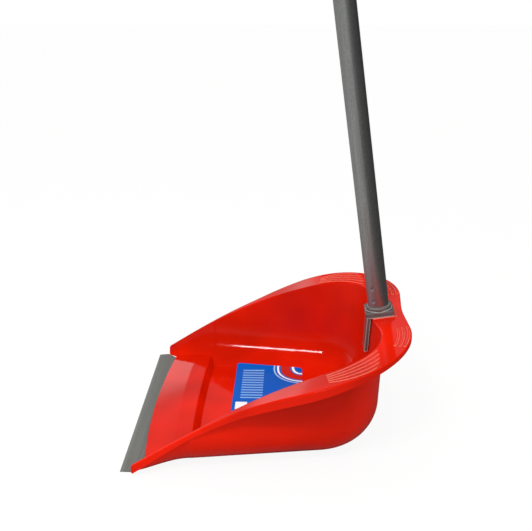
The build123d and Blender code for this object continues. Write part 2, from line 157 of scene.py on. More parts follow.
@dataclass(frozen=True)
class Finish:
    """A surface finish: the shader's own values and a pattern that each kind of finish adds."""

    name: str
    colour: str
    roughness: float
    ior: float = 1.5
    specular: float = 0.5
    metallic: float = 0.0

    def material(self) -> bpy.types.Material:
        """Build the material with its pattern.

        Returns:
            The finished material.
        """
        material = bpy.data.materials.new(self.name)
        material.use_nodes = True
        tree = material.node_tree
        surface = tree.nodes["Principled BSDF"]
        surface.inputs["Base Color"].default_value = linear(self.colour)
        surface.inputs["Roughness"].default_value = self.roughness
        surface.inputs["IOR"].default_value = self.ior
        surface.inputs["Specular IOR Level"].default_value = self.specular
        surface.inputs["Metallic"].default_value = self.metallic
        self.pattern(tree, surface)
        return material

    def pattern(self, tree: Tree, surface: bpy.types.Node) -> None:
        """Add the finish's own pattern to the shader.

        Args:
            tree: the material's nodes.
            surface: its Principled shader.
        """
        raise NotImplementedError

    def dress(self, piece: Piece) -> None:
        """Put the finish on a piece, in every slot that it has.

        Args:
            piece: object that takes the finish.
        """
        material = self.material()
        if not piece.material_slots:
            piece.data.materials.append(material)
        for slot in piece.material_slots:
            slot.material = material


@dataclass(frozen=True)
class MouldedPolypropylene(Finish):
    """Polypropylene moulded in a polished tool.

    It gives a deep even colour, a wet gloss with a faint ripple on what faces up, satin walls, a painted
    highlight with some wear on the upward rib edges, and light marks along the way that dirt is swept.
    """

    deep_colour: str = "BE1400"
    tone_mm: float = 90.0
    tone_ends: Pair = (0.35, 0.65)
    level_ends: Pair = (0.75, 0.97)    # the normal's upward part where a face starts to be level and fully is
    wall_ends: Pair = (0.4, 0.15)      # the same for a wall
    wall_gloss_loss: float = 0.25
    scuff_mm: float = 0.9
    scuff_length_mm: float = 46.0
    scuff_turn: float = radians(5)
    scuff_ends: Pair = (0.52, 0.75)
    scuff_gloss_loss: float = 0.09
    rib_foot: float = 0.075            # ribs lie above this height
    rib_softness_mm: float = 0.7
    # pale colour of the rib edges: a painted highlight, with some wear
    edge_highlight_and_wear_colour: str = "FA8B76"
    edge_highlight_and_wear_ends: Pair = (0.99, 0.9)    # cosine of the turn at an edge where the painted highlight and wear start and are full
    edge_highlight_and_wear_share: float = 0.9
    edge_highlight_and_wear_tilt: float = 0.3           # edges whose eased normal points up less than this get neither painted highlight nor wear
    ripple_mm: float = 14.0
    ripple_depth_mm: float = 0.006

    def pattern(self, tree: Tree, surface: bpy.types.Node) -> None:
        """Drift the colour, paint a highlight with some wear on the rib edges, dull the walls and mark what
        faces up.

        Args:
            tree: the material's nodes.
            surface: its Principled shader.
        """
        place = add_node(tree, Kind.PLACE).outputs["Object"]
        facing = add_node(tree, Kind.GEOMETRY).outputs["Normal"]
        upward = add_node(tree, Kind.SPLIT, {"Vector": facing}).outputs["Z"]
        start, full = self.level_ends
        level = add_node(tree, Kind.RANGE, {"Value": upward, "From Min": start, "From Max": full}).outputs[0]
        height = add_node(tree, Kind.SPLIT, {"Vector": place}).outputs["Z"]
        high = add_node(tree, Kind.MATH, {0: height, 1: self.rib_foot}, operation="GREATER_THAN").outputs[0]
        soft = add_node(tree, Kind.BEVEL, {"Radius": self.rib_softness_mm * MM}, samples=8).outputs[0]

        # the upward rib edges take a painted highlight with some wear
        colour = add_node(
            tree, Kind.MIX,
            {
                Mix.SHARE: self._edge_highlight_and_wear(tree, facing, soft, high),
                Mix.COLOUR_A: self._drift(tree, place),
                Mix.COLOUR_B: linear(self.edge_highlight_and_wear_colour),
            },
            data_type="RGBA",
        )
        tree.links.new(colour.outputs[Mixed.COLOUR], surface.inputs["Base Color"])
        tree.links.new(self._gloss(tree, place, upward, level), surface.inputs["Roughness"])

        raised = add_node(tree, Kind.MATH, {0: high, 1: level}, operation="MULTIPLY").outputs[0]
        eased = add_node(
            tree, Kind.MIX, {Mix.SHARE: raised, Mix.VECTOR_A: facing, Mix.VECTOR_B: soft}, data_type="VECTOR"
        )
        ripple = add_node(
            tree, Kind.NOISE, {"Vector": place, "Scale": per_metre(self.ripple_mm), "Detail": 1.0}
        )
        relief = add_node(
            tree, Kind.BUMP,
            {
                "Height": ripple.outputs["Fac"],
                "Distance": self.ripple_depth_mm * MM,
                "Normal": eased.outputs[Mixed.VECTOR],
            },
        )
        tree.links.new(relief.outputs[0], surface.inputs["Normal"])

    def _drift(self, tree: Tree, place: Socket) -> Socket:
        """Let the colour drift slowly between the deep tone and the main one.

        Args:
            tree: the material's nodes.
            place: point on the piece.

        Returns:
            The colour.
        """
        drift = add_node(tree, Kind.NOISE, {"Vector": place, "Scale": per_metre(self.tone_mm), "Detail": 2.0})
        start, full = self.tone_ends
        tone = add_node(
            tree, Kind.RANGE, {"Value": drift.outputs["Fac"], "From Min": start, "From Max": full}
        )
        colour = add_node(
            tree, Kind.MIX,
            {
                Mix.SHARE: tone.outputs[0],
                Mix.COLOUR_A: linear(self.deep_colour),
                Mix.COLOUR_B: linear(self.colour),
            },
            data_type="RGBA",
        )
        return colour.outputs[Mixed.COLOUR]

    def _edge_highlight_and_wear(self, tree: Tree, facing: Socket, soft: Socket, high: Socket) -> Socket:
        """Find the upward rib edges, where the eased normal turns away from the plain one, for a painted
        highlight with some wear.

        Args:
            tree: the material's nodes.
            facing: the plain normal.
            soft: the normal eased round edges.
            high: 1 at the height of the ribs.

        Returns:
            How much painted highlight and wear the edge takes.
        """
        turn = add_node(tree, Kind.VECTOR_MATH, {0: facing, 1: soft}, operation="DOT_PRODUCT")
        start, full = self.edge_highlight_and_wear_ends
        edge = add_node(
            tree, Kind.RANGE,
            {
                "Value": turn.outputs["Value"],
                "From Min": start,
                "From Max": full,
                "To Max": self.edge_highlight_and_wear_share,
            },
        )
        lifted = add_node(tree, Kind.SPLIT, {"Vector": soft}).outputs["Z"]
        tops = add_node(tree, Kind.MATH, {0: lifted, 1: self.edge_highlight_and_wear_tilt}, operation="GREATER_THAN")
        upward_rib_edges = add_node(tree, Kind.MATH, {0: tops.outputs[0], 1: high}, operation="MULTIPLY")
        pale_edge = add_node(
            tree, Kind.MATH, {0: edge.outputs[0], 1: upward_rib_edges.outputs[0]}, operation="MULTIPLY"
        )
        return pale_edge.outputs[0]

    def _gloss(self, tree: Tree, place: Socket, upward: Socket, level: Socket) -> Socket:
        """Add the sweeping marks and the satin of the walls to the plain gloss.

        Args:
            tree: the material's nodes.
            place: point on the piece.
            upward: the normal's upward part.
            level: how far a face counts as level.

        Returns:
            The roughness.
        """
        stretch = (per_metre(self.scuff_mm), per_metre(self.scuff_length_mm), per_metre(self.scuff_mm))
        swept = add_node(
            tree, Kind.MAPPING, {"Vector": place, "Rotation": (0, 0, self.scuff_turn), "Scale": stretch}
        )
        lines = add_node(tree, Kind.NOISE, {"Vector": swept.outputs[0], "Scale": 1.0, "Detail": 3.0})
        start, full = self.scuff_ends
        marks = add_node(
            tree, Kind.RANGE,
            {
                "Value": lines.outputs["Fac"],
                "From Min": start,
                "From Max": full,
                "To Max": self.scuff_gloss_loss,
            },
        )
        worn = add_node(tree, Kind.MATH, {0: marks.outputs[0], 1: level}, operation="MULTIPLY")
        lean = add_node(tree, Kind.MATH, {0: upward}, operation="ABSOLUTE")
        start, full = self.wall_ends
        wall = add_node(
            tree, Kind.RANGE,
            {
                "Value": lean.outputs[0],
                "From Min": start,
                "From Max": full,
                "To Max": self.wall_gloss_loss,
            },
        )
        dulled = add_node(tree, Kind.MATH, {0: worn.outputs[0], 1: wall.outputs[0]}, operation="ADD")
        gloss = add_node(tree, Kind.MATH, {0: dulled.outputs[0], 1: self.roughness}, operation="ADD")
        return gloss.outputs[0]


@dataclass(frozen=True)
class ExtrudedRubber(Finish):
    """Thermoplastic rubber strip, extruded: matt, with fine lines along it and a pale, scuffed edge."""

    dusty_colour: str = "757671"
    die_line_mm: float = 1.1           # drawn coarser than real die lines so that they show
    die_line_length_mm: float = 90.0
    speck_mm: float = 0.8
    dust_ends: Pair = (0.12, 0.42)
    edge_y: float = -0.1425
    edge_run: float = 0.005
    edge_share: float = 0.55
    relief_mm: float = 0.12
    relief_strength: float = 0.6

    def pattern(self, tree: Tree, surface: bpy.types.Node) -> None:
        """Run die lines along X, roughen the colour with specks and rub the front edge pale.

        Args:
            tree: the material's nodes.
            surface: its Principled shader.
        """
        place = add_node(tree, Kind.PLACE).outputs["Object"]
        fine = per_metre(self.die_line_mm)
        along = add_node(
            tree, Kind.MAPPING, {"Vector": place, "Scale": (per_metre(self.die_line_length_mm), fine, fine)}
        )
        lines = add_node(tree, Kind.NOISE, {"Vector": along.outputs[0], "Scale": 1.0, "Detail": 2.0})
        specks = add_node(
            tree, Kind.NOISE, {"Vector": place, "Scale": per_metre(self.speck_mm), "Detail": 2.0}
        )
        grain = add_node(
            tree, Kind.MATH, {0: lines.outputs["Fac"], 1: specks.outputs["Fac"]}, operation="MULTIPLY"
        )
        start, full = self.dust_ends
        dust = add_node(tree, Kind.RANGE, {"Value": grain.outputs[0], "From Min": start, "From Max": full})
        forward = add_node(tree, Kind.SPLIT, {"Vector": place}).outputs["Y"]
        pale_edge = add_node(
            tree, Kind.RANGE,
            {
                "Value": forward,
                "From Min": self.edge_y + self.edge_run,
                "From Max": self.edge_y,
                "To Max": self.edge_share,
            },
        )
        pale = add_node(
            tree, Kind.MATH, {0: dust.outputs[0], 1: pale_edge.outputs[0]}, operation="ADD", use_clamp=True
        )
        colour = add_node(
            tree, Kind.MIX,
            {
                Mix.SHARE: pale.outputs[0],
                Mix.COLOUR_A: linear(self.colour),
                Mix.COLOUR_B: linear(self.dusty_colour),
            },
            data_type="RGBA",
        )
        tree.links.new(colour.outputs[Mixed.COLOUR], surface.inputs["Base Color"])
        relief = add_node(
            tree, Kind.BUMP,
            {
                "Height": grain.outputs[0],
                "Distance": self.relief_mm * MM,
                "Strength": self.relief_strength,
            },
        )
        tree.links.new(relief.outputs[0], surface.inputs["Normal"])


@dataclass(frozen=True)
class Ring:
    """One printed ring: its middle radius, half its width and its ink."""

    radius: float
    half_width: float
    ink: str


@dataclass(frozen=True)
class PrintedFilm(Finish):
    """Polypropylene label film, printed in flat inks under clear varnish: crisp colour and a soft sheen."""

    pale: str = "7FAEE2"
    white: str = "EDF1F5"
    panel_centre: Pair = (0.050, -0.022)
    panel_half: Pair = (0.036, 0.0125)
    stripe_mm: float = 6.0             # drawn coarser than real print so that it shows
    stripe_share: float = 0.22         # half a stripe's width, as a share of the spacing
    block_centre: Pair = (0.0, -0.0325)
    block_half: Pair = (0.008, 0.0065)
    ring_centre: Pair = (-0.088, 0.036)
    rings: tuple[Ring, ...] = (
        Ring(0.0110, 0.0015, white),
        Ring(0.0200, 0.0055, "C4281E"),
        Ring(0.0290, 0.0012, white),
        Ring(0.0335, 0.0010, "9DBCE6"),
    )
    crinkle_mm: float = 9.0
    crinkle_depth_mm: float = 0.03

    def pattern(self, tree: Tree, surface: bpy.types.Node) -> None:
        """Print a striped panel each side of a white block in front, and quarter rings at one back corner.

        Args:
            tree: the material's nodes.
            surface: its Principled shader.
        """
        place = add_node(tree, Kind.PLACE).outputs["Object"]
        axes = add_node(tree, Kind.SPLIT, {"Vector": place}).outputs
        aside = add_node(tree, Kind.MATH, {0: axes["X"]}, operation="ABSOLUTE").outputs[0]
        areas = []
        for middle, size in ((self.panel_centre, self.panel_half), (self.block_centre, self.block_half)):
            inside = []
            for axis, centre, half in zip((aside, axes["Y"]), middle, size):
                across = add_node(tree, Kind.MATH, {0: axis, 1: centre, 2: half}, operation="COMPARE")
                inside.append(across.outputs[0])
            area = add_node(tree, Kind.MATH, {0: inside[0], 1: inside[1]}, operation="MULTIPLY")
            areas.append(area.outputs[0])
        panel, block = areas

        spacing = self.stripe_mm * MM
        wave = add_node(tree, Kind.MATH, {0: axes["X"], 1: spacing / 2}, operation="PINGPONG")
        stripe = add_node(
            tree, Kind.MATH, {0: wave.outputs[0], 1: spacing * self.stripe_share}, operation="LESS_THAN"
        )
        hatch = add_node(tree, Kind.MATH, {0: panel, 1: stripe.outputs[0]}, operation="MULTIPLY")

        flat = add_node(tree, Kind.COMBINE, {"X": axes["X"], "Y": axes["Y"]}).outputs[0]
        away = add_node(tree, Kind.VECTOR_MATH, {0: flat, 1: (*self.ring_centre, 0.0)}, operation="DISTANCE")
        prints = [(hatch.outputs[0], self.pale), (block, self.white)]
        for ring in self.rings:
            band = add_node(
                tree, Kind.MATH,
                {0: away.outputs["Value"], 1: ring.radius, 2: ring.half_width},
                operation="COMPARE",
            )
            prints.append((band.outputs[0], ring.ink))
        ink: Socket | tuple[float, ...] = linear(self.colour)
        for area, hex_code in prints:
            laid = add_node(
                tree, Kind.MIX,
                {Mix.SHARE: area, Mix.COLOUR_A: ink, Mix.COLOUR_B: linear(hex_code)},
                data_type="RGBA",
            )
            ink = laid.outputs[Mixed.COLOUR]
        tree.links.new(ink, surface.inputs["Base Color"])

        crinkle = add_node(
            tree, Kind.NOISE, {"Vector": place, "Scale": per_metre(self.crinkle_mm), "Detail": 1.0}
        )
        relief = add_node(
            tree, Kind.BUMP, {"Height": crinkle.outputs["Fac"], "Distance": self.crinkle_depth_mm * MM}
        )
        tree.links.new(relief.outputs[0], surface.inputs["Normal"])


@dataclass(frozen=True)
class DrawnTube(Finish):
    """Drawn steel tube with a dull zinc coat: satin streaks along its length and small darker specks."""

    dull_colour: str = "9A9C9A"
    lean: float = radians(8.42)
    streak_mm: float = 1.2
    streak_length_mm: float = 60.0
    speck_mm: float = 1.6
    tone_ends: Pair = (0.12, 0.38)
    sheen_ends: Pair = (0.3, 0.7)
    sheen_swing: Pair = (0.07, -0.05)
    relief_mm: float = 0.015
    relief_strength: float = 0.5

    def pattern(self, tree: Tree, surface: bpy.types.Node) -> None:
        """Run streaks along the leaning tube, and break up colour and sheen with specks.

        Args:
            tree: the material's nodes.
            surface: its Principled shader.
        """
        place = add_node(tree, Kind.PLACE).outputs["Object"]
        upright = add_node(tree, Kind.MAPPING, {"Vector": place, "Rotation": (-self.lean, 0, 0)})
        fine = per_metre(self.streak_mm)
        drawn = add_node(
            tree, Kind.MAPPING,
            {"Vector": upright.outputs[0], "Scale": (fine, fine, per_metre(self.streak_length_mm))},
        )
        streaks = add_node(tree, Kind.NOISE, {"Vector": drawn.outputs[0], "Scale": 1.0, "Detail": 3.0})
        specks = add_node(
            tree, Kind.NOISE, {"Vector": place, "Scale": per_metre(self.speck_mm), "Detail": 3.0}
        )
        mixed = add_node(
            tree, Kind.MATH, {0: streaks.outputs["Fac"], 1: specks.outputs["Fac"]}, operation="MULTIPLY"
        )
        start, full = self.tone_ends
        tone = add_node(tree, Kind.RANGE, {"Value": mixed.outputs[0], "From Min": start, "From Max": full})
        colour = add_node(
            tree, Kind.MIX,
            {
                Mix.SHARE: tone.outputs[0],
                Mix.COLOUR_A: linear(self.dull_colour),
                Mix.COLOUR_B: linear(self.colour),
            },
            data_type="RGBA",
        )
        tree.links.new(colour.outputs[Mixed.COLOUR], surface.inputs["Base Color"])
        sheen = add_node(
            tree, Kind.RANGE,
            {
                "Value": streaks.outputs["Fac"],
                "From Min": self.sheen_ends[0],
                "From Max": self.sheen_ends[1],
                "To Min": self.roughness + self.sheen_swing[0],
                "To Max": self.roughness + self.sheen_swing[1],
            },
        )
        tree.links.new(sheen.outputs[0], surface.inputs["Roughness"])
        relief = add_node(
            tree, Kind.BUMP,
            {
                "Height": mixed.outputs[0],
                "Distance": self.relief_mm * MM,
                "Strength": self.relief_strength,
            },
        )
        tree.links.new(relief.outputs[0], surface.inputs["Normal"])


@dataclass(frozen=True)
class MouldedNylon(Finish):
    """Polyamide with mineral filler, moulded: satin grey, fine grain, cloudy flow marks, and edges painted
    pale as a highlight with some wear.
    """

    cloud_colour: str = "5E5856"
    cloud_mm: float = 11.0
    cloud_twist: float = 0.6
    cloud_ends: Pair = (0.35, 0.65)
    # pale colour of the edges: a painted highlight, with some wear
    edge_highlight_and_wear_colour: str = "C6C2C0"
    edge_highlight_mm: float = 1.3
    edge_highlight_and_wear_ends: Pair = (0.99, 0.93)   # cosine of the turn at an edge where the painted highlight and wear start and are full
    grain_mm: float = 0.7              # drawn coarser than real mould grain so that it shows
    grain_ends: Pair = (0.3, 0.7)
    sheen_swing: Pair = (-0.06, 0.08)
    relief_mm: float = 0.05
    relief_strength: float = 0.5

    def pattern(self, tree: Tree, surface: bpy.types.Node) -> None:
        """Drift clouds through the colour, paint a pale highlight with some wear on the edges and break the
        sheen with a fine grain.

        Args:
            tree: the material's nodes.
            surface: its Principled shader.
        """
        place = add_node(tree, Kind.PLACE).outputs["Object"]
        cloud = add_node(
            tree, Kind.NOISE,
            {
                "Vector": place,
                "Scale": per_metre(self.cloud_mm),
                "Detail": 4.0,
                "Distortion": self.cloud_twist,
            },
        )
        start, full = self.cloud_ends
        tone = add_node(
            tree, Kind.RANGE, {"Value": cloud.outputs["Fac"], "From Min": start, "From Max": full}
        )
        colour = add_node(
            tree, Kind.MIX,
            {
                Mix.SHARE: tone.outputs[0],
                Mix.COLOUR_A: linear(self.colour),
                Mix.COLOUR_B: linear(self.cloud_colour),
            },
            data_type="RGBA",
        )
        facing = add_node(tree, Kind.GEOMETRY).outputs["True Normal"]
        eased = add_node(tree, Kind.BEVEL, {"Radius": self.edge_highlight_mm * MM}, samples=8).outputs[0]
        turn = add_node(tree, Kind.VECTOR_MATH, {0: facing, 1: eased}, operation="DOT_PRODUCT")
        start, full = self.edge_highlight_and_wear_ends
        pale_edge = add_node(
            tree, Kind.RANGE, {"Value": turn.outputs["Value"], "From Min": start, "From Max": full}
        )
        # the edges take a painted highlight with some wear
        colour = add_node(
            tree, Kind.MIX,
            {
                Mix.SHARE: pale_edge.outputs[0],
                Mix.COLOUR_A: colour.outputs[Mixed.COLOUR],
                Mix.COLOUR_B: linear(self.edge_highlight_and_wear_colour),
            },
            data_type="RGBA",
        )
        tree.links.new(colour.outputs[Mixed.COLOUR], surface.inputs["Base Color"])
        grain = add_node(
            tree, Kind.NOISE, {"Vector": place, "Scale": per_metre(self.grain_mm), "Detail": 1.0}
        )
        sheen = add_node(
            tree, Kind.RANGE,
            {
                "Value": grain.outputs["Fac"],
                "From Min": self.grain_ends[0],
                "From Max": self.grain_ends[1],
                "To Min": self.roughness + self.sheen_swing[0],
                "To Max": self.roughness + self.sheen_swing[1],
            },
        )
        tree.links.new(sheen.outputs[0], surface.inputs["Roughness"])
        relief = add_node(
            tree, Kind.BUMP,
            {
                "Height": grain.outputs["Fac"],
                "Distance": self.relief_mm * MM,
                "Strength": self.relief_strength,
            },
        )
        tree.links.new(relief.outputs[0], surface.inputs["Normal"])


@contextmanager
def editing(piece: Piece) -> Iterator[None]:
    """Put one piece alone in edit mode and leave it again afterwards.

    Args:
        piece: object to edit.

    Yields:
        Nothing, while the piece is in edit mode.
    """
    bpy.ops.object.select_all(action="DESELECT")
    piece.select_set(True)
    bpy.context.view_layer.objects.active = piece
    bpy.ops.object.mode_set(mode="EDIT")
    yield
    bpy.ops.object.mode_set(mode="OBJECT")


def select(piece: Piece, part: Part, wanted: Callable[[Vector], bool]) -> None:
    """Select the vertices or edges of a piece in edit mode whose middle is wanted.

    Args:
        piece: object in edit mode.
        part: what to select.
        wanted: test of a middle point.
    """
    bpy.ops.mesh.select_mode(type=part.value)
    bpy.ops.mesh.select_all(action="DESELECT")
    mesh = bmesh.from_edit_mesh(piece.data)
    for item in mesh.verts if part is Part.VERTS else mesh.edges:
        corners = [item.co] if part is Part.VERTS else [v.co for v in item.verts]
        item.select_set(wanted(sum(corners, Vector()) / len(corners)))
    mesh.select_flush_mode()
    bmesh.update_edit_mesh(piece.data)


def cut_across(axis: int, places: list[float]) -> None:
    """Cut the whole piece that is in edit mode with planes square to one axis.

    Args:
        axis: 0, 1 or 2 for X, Y or Z.
        places: where the planes cross that axis.
    """
    normal = [0.0, 0.0, 0.0]
    normal[axis] = 1.0
    for place in places:
        bpy.ops.mesh.select_all(action="SELECT")
        bpy.ops.mesh.bisect(plane_co=[place * n for n in normal], plane_no=normal)


def apply_modifier(piece: Piece, kind: str, **settings: Any) -> None:
    """Add a modifier to a piece and apply it.

    Args:
        piece: object to change.
        kind: the modifier's type.
        settings: its properties.
    """
    modifier = piece.modifiers.new(kind.lower(), kind)
    for name, value in settings.items():
        setattr(modifier, name, value)
    bpy.context.view_layer.objects.active = piece
    bpy.ops.object.modifier_apply(modifier=modifier.name)


def settle(piece: Piece, name: str, crisp_angle: float = 35.0) -> Piece:
    """Name a piece, put its place into its mesh and smooth it.

    Args:
        piece: object to settle.
        name: its name.
        crisp_angle: edges sharper than this many degrees stay crisp.

    Returns:
        The same object.
    """
    bpy.ops.object.select_all(action="DESELECT")
    piece.select_set(True)
    bpy.context.view_layer.objects.active = piece
    bpy.ops.object.transform_apply(location=True, rotation=True, scale=True)
    bpy.ops.object.shade_smooth_by_angle(angle=radians(crisp_angle))
    piece.name = name
    return piece


@dataclass
class RubberLip:
    """Soft strip staked under the ramp's front edge, thinned towards the floor."""

    front: float = -0.1425
    depth: float = 0.034
    half_width: float = 0.128387
    tail_half_width: float = 0.105987
    taper_start: float = -0.1305
    thickness: float = 1.7 * MM
    edge_thickness: float = 0.6 * MM
    feather: float = 9.0 * MM
    edge_round: float = 0.22 * MM
    edge_facets: int = 3
    stake_count: int = 7
    stake_half_span: float = 0.101987
    stake_setback: float = 0.027
    shank_radius: float = 2.15 * MM
    head_radius: float = 3.65 * MM
    head_top: float = 0.95 * MM
    hole_facets: int = 32

    def build(self) -> Piece:
        """Model the strip from a cube.

        Returns:
            The strip.
        """
        back = self.front + self.depth
        bpy.ops.object.select_all(action="DESELECT")
        bpy.ops.mesh.primitive_cube_add(
            size=1.0,
            location=(0.0, self.front + self.depth / 2, self.thickness / 2),
            scale=(2 * self.half_width, self.depth, self.thickness),
        )
        strip = settle(bpy.context.object, "rubber_lip")
        with editing(strip):
            cut_across(1, [self.taper_start, self.front + self.feather])
            select(strip, Part.VERTS, lambda p: p.y > back - TINY)
            bpy.ops.transform.resize(
                value=(self.tail_half_width / self.half_width, 1, 1), center_override=(0.0, back, 0.0)
            )
            select(strip, Part.VERTS, lambda p: p.y < self.front + TINY and p.z > TINY)
            bpy.ops.transform.translate(value=(0, 0, self.edge_thickness - self.thickness))
            select(
                strip, Part.EDGES,
                lambda p: p.y < self.front + TINY or abs(p.x) > self.tail_half_width + TINY,
            )
            bpy.ops.mesh.bevel(offset=self.edge_round, segments=self.edge_facets, affect="EDGES")
        for index in range(self.stake_count):
            self._pierce(strip, 2 * self.stake_half_span * (index / (self.stake_count - 1) - 0.5))
        return settle(strip, "rubber_lip")

    def _pierce(self, strip: Piece, x: float) -> None:
        """Cut the stepped hole that a stake's shank and head fill.

        Args:
            strip: the strip.
            x: the stake's place along it.
        """
        steps = ((self.shank_radius, 2 * self.thickness), (self.head_radius, 2 * self.head_top))
        for radius, height in steps:
            bpy.ops.object.select_all(action="DESELECT")
            bpy.ops.mesh.primitive_cylinder_add(
                vertices=self.hole_facets, radius=radius, depth=height,
                location=(x, self.front + self.stake_setback, 0.0),
            )
            drill = bpy.context.object
            apply_modifier(strip, "BOOLEAN", object=drill, operation="DIFFERENCE", solver="EXACT")
            bpy.data.objects.remove(drill)

    def dress(self, strip: Piece) -> None:
        """Give the strip its rubber, and tie it to the pan in place of the plain solid.

        Args:
            strip: the strip.
        """
        ExtrudedRubber("grey_thermoplastic_rubber", "5C5D59", 0.62, edge_y=self.front).dress(strip)
        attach(strip, PAN_BODY)
        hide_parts("lip")


@dataclass
class FloorLabel:
    """Printed label stuck on the pan's floor, its ends lying up the curve of the walls."""

    front: float = -0.043
    length: float = 0.079
    front_half_width: float = 0.099
    back_half_width: float = 0.0875
    corner: float = 4.0 * MM
    corner_facets: int = 6
    thickness: float = 0.2 * MM
    gap: float = 0.06 * MM
    drop_height: float = 0.05
    columns: int = 72
    rows: int = 24

    def build(self, floor: Piece) -> Piece:
        """Model the label flat above the floor, then lay it down.

        Args:
            floor: the moulding that carries it.

        Returns:
            The label.
        """
        back = self.front + self.length
        width = 2 * self.front_half_width
        bpy.ops.object.select_all(action="DESELECT")
        bpy.ops.mesh.primitive_plane_add(
            size=1.0, location=(0, self.front + self.length / 2, self.drop_height)
        )
        label = bpy.context.object
        label.scale = (width, self.length, 1)
        label = settle(label, "printed_label")
        with editing(label):
            select(label, Part.VERTS, lambda p: p.y > back - TINY)
            bpy.ops.transform.resize(
                value=(self.back_half_width / self.front_half_width, 1, 1),
                center_override=(0.0, back, self.drop_height),
            )
            bpy.ops.mesh.select_all(action="SELECT")
            bpy.ops.mesh.bevel(offset=self.corner, segments=self.corner_facets, affect="VERTICES")
            cut_across(0, [width * (i / self.columns - 0.5) for i in range(1, self.columns)])
            cut_across(1, [self.front + self.length * i / self.rows for i in range(1, self.rows)])
        apply_modifier(
            label, "SHRINKWRAP", target=floor, wrap_method="PROJECT", use_negative_direction=True,
            use_positive_direction=False, use_project_z=True, offset=self.gap + self.thickness,
        )
        apply_modifier(label, "SOLIDIFY", thickness=self.thickness, offset=-1.0)
        return settle(label, "printed_label")

    def dress(self, label: Piece) -> None:
        """Print the label, and tie it to the pan in place of the plain solid.

        Args:
            label: the label.
        """
        PrintedFilm("printed_label_film", "005CBE", 0.3, specular=0.06).dress(label)
        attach(label, PAN_BODY)
        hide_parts("floor_label")


@dataclass
class PanMoulding:
    """The red moulding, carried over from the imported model."""

    node: str = "pan"

    def build(self) -> Piece:
        """The moulding as packed."""
        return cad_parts[self.node]

    def dress(self, pan: Piece) -> None:
        """Give the moulding its glossy red."""
        MouldedPolypropylene("red_gloss_polypropylene", "E01A00", 0.07, ior=1.49, specular=0.18).dress(pan)


@dataclass
class Handle:
    """Bracket, tube and hanging cap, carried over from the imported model."""

    bracket: str = "handle_bracket"
    tube: str = "handle_tube"
    cap: str = "hanging_cap"

    def build(self) -> list[Piece]:
        """The handle's pieces as packed."""
        return [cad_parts[name] for name in (self.bracket, self.tube, self.cap)]

    def dress(self, pieces: list[Piece]) -> None:
        """Give each piece its finish.

        Args:
            pieces: bracket, tube and cap.
        """
        bracket, tube, cap = pieces
        MouldedNylon("grey_moulded_nylon", "504A49", 0.3).dress(bracket)
        DrawnTube("zinc_coated_steel_tube", "B4B6B4", 0.36, metallic=0.95).dress(tube)
        MouldedNylon("grey_moulded_nylon_cap", "5F605F", 0.42, cloud_colour="6A6B6A").dress(cap)


